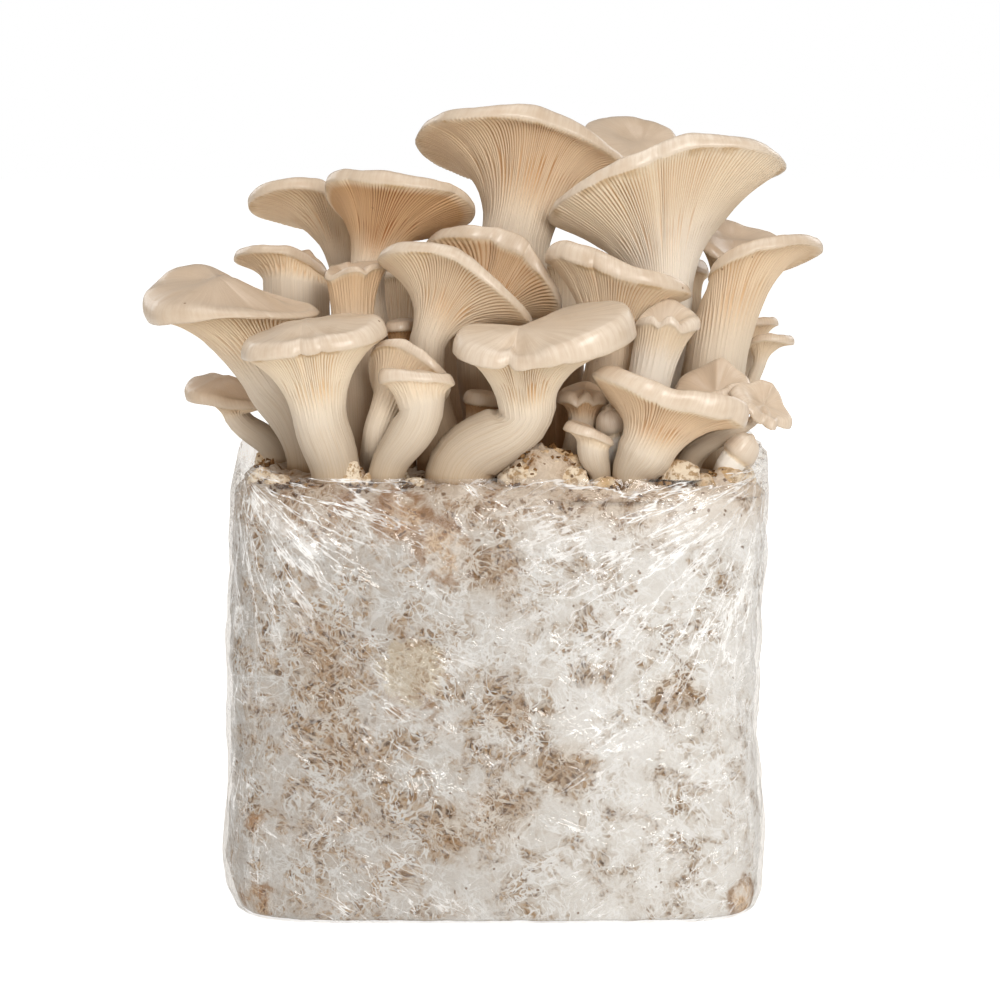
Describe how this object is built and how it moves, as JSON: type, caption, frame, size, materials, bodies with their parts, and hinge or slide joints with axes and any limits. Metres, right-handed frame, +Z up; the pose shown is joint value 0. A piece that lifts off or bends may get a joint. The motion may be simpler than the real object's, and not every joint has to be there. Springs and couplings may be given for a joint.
{
  "type": "oyster mushroom grow kit",
  "caption": "Grow kit: a boxy block of mycelium-bound sawdust in an open clear film bag, with a dense cluster of long-stemmed, funnel-capped oyster mushrooms on its top.",
  "frame": {"origin": "middle of the bag's flat base, on the surface it stands on", "axes": "+Z up, +X to the right of the front face, +Y to the back"},
  "size_m": [0.2661, 0.156, 0.3115],
  "materials": {
    "clear_film": "thin clear plastic film, glossy, creased, lying against the block",
    "mycelium_block": null,
    "mushroom_flesh": null
  },
  "bodies": {
    "root": {"bag": "clear_film", "substrate_block": "mycelium_block", "mushroom_crown_left": "mushroom_flesh", "mushroom_crown_right": "mushroom_flesh", "mushroom_crown_back": "mushroom_flesh", "mushroom_upper_left": "mushroom_flesh", "mushroom_upper_far_left": "mushroom_flesh", "mushroom_left_large": "mushroom_flesh", "mushroom_left_low": "mushroom_flesh", "mushroom_left_mid": "mushroom_flesh", "mushroom_left_small": "mushroom_flesh", "mushroom_centre": "mushroom_flesh", "mushroom_centre_back": "mushroom_flesh", "mushroom_centre_right": "mushroom_flesh", "mushroom_right_folded": "mushroom_flesh", "mushroom_right_large": "mushroom_flesh", "mushroom_right_back": "mushroom_flesh", "mushroom_right_twin_upper": "mushroom_flesh", "mushroom_right_twin_lower": "mushroom_flesh", "mushroom_centre_small": "mushroom_flesh", "mushroom_centre_shaded": "mushroom_flesh", "mushroom_front_left": "mushroom_flesh", "mushroom_front_pair_back": "mushroom_flesh", "mushroom_front_pair_front": "mushroom_flesh", "mushroom_front_centre": "mushroom_flesh", "mushroom_front_baby": "mushroom_flesh", "mushroom_front_baby_back": "mushroom_flesh", "mushroom_front_bud": "mushroom_flesh", "mushroom_front_right": "mushroom_flesh", "mushroom_front_right_lobed": "mushroom_flesh", "mushroom_front_right_frilly": "mushroom_flesh", "mushroom_right_bud": "mushroom_flesh", "mushroom_back_left": "mushroom_flesh", "mushroom_back_centre": "mushroom_flesh", "mushroom_back_right": "mushroom_flesh", "mushroom_back_small_left": "mushroom_flesh", "mushroom_back_small_right": "mushroom_flesh"}
  },
  "joints": []
}
